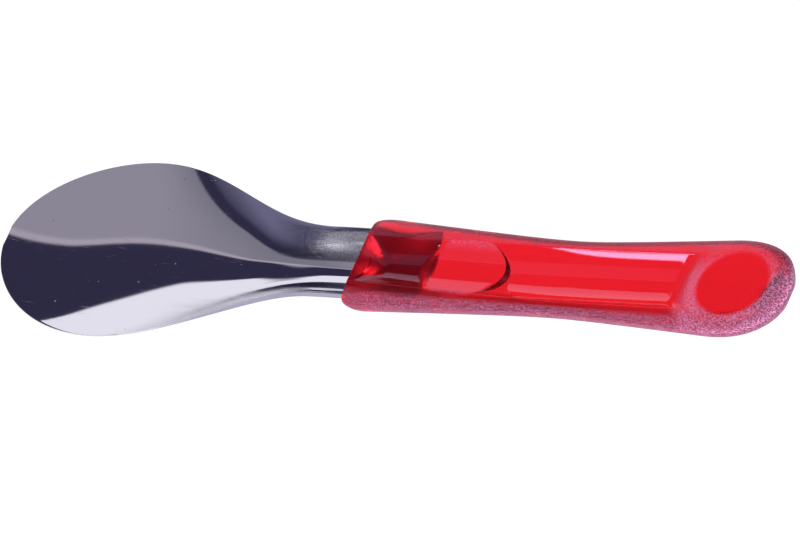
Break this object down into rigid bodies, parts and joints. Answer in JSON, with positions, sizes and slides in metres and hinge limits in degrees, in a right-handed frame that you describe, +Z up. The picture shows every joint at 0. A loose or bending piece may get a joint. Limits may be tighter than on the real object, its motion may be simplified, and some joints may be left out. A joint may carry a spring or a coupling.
{
  "type": "ice cream spade",
  "caption": "Flat hand spade for ice cream: a dished, pointed-oval steel blade whose channelled tang is moulded into a waisted transparent plastic handle.",
  "frame": {"origin": "middle of the overall length, on the centre line, on the surface that the spade lies on", "axes": "+X from the blade to the end of the handle, +Z up out of the blade's hollow side"},
  "size_m": [0.258, 0.0632, 0.0114],
  "materials": {
    "steel": "polished sheet with fine wear scratches",
    "clear_red": "transparent, polished in the hollows and finely textured on the sides"
  },
  "bodies": {
    "root": {"blade": "steel", "handle": "clear_red"}
  },
  "joints": []
}
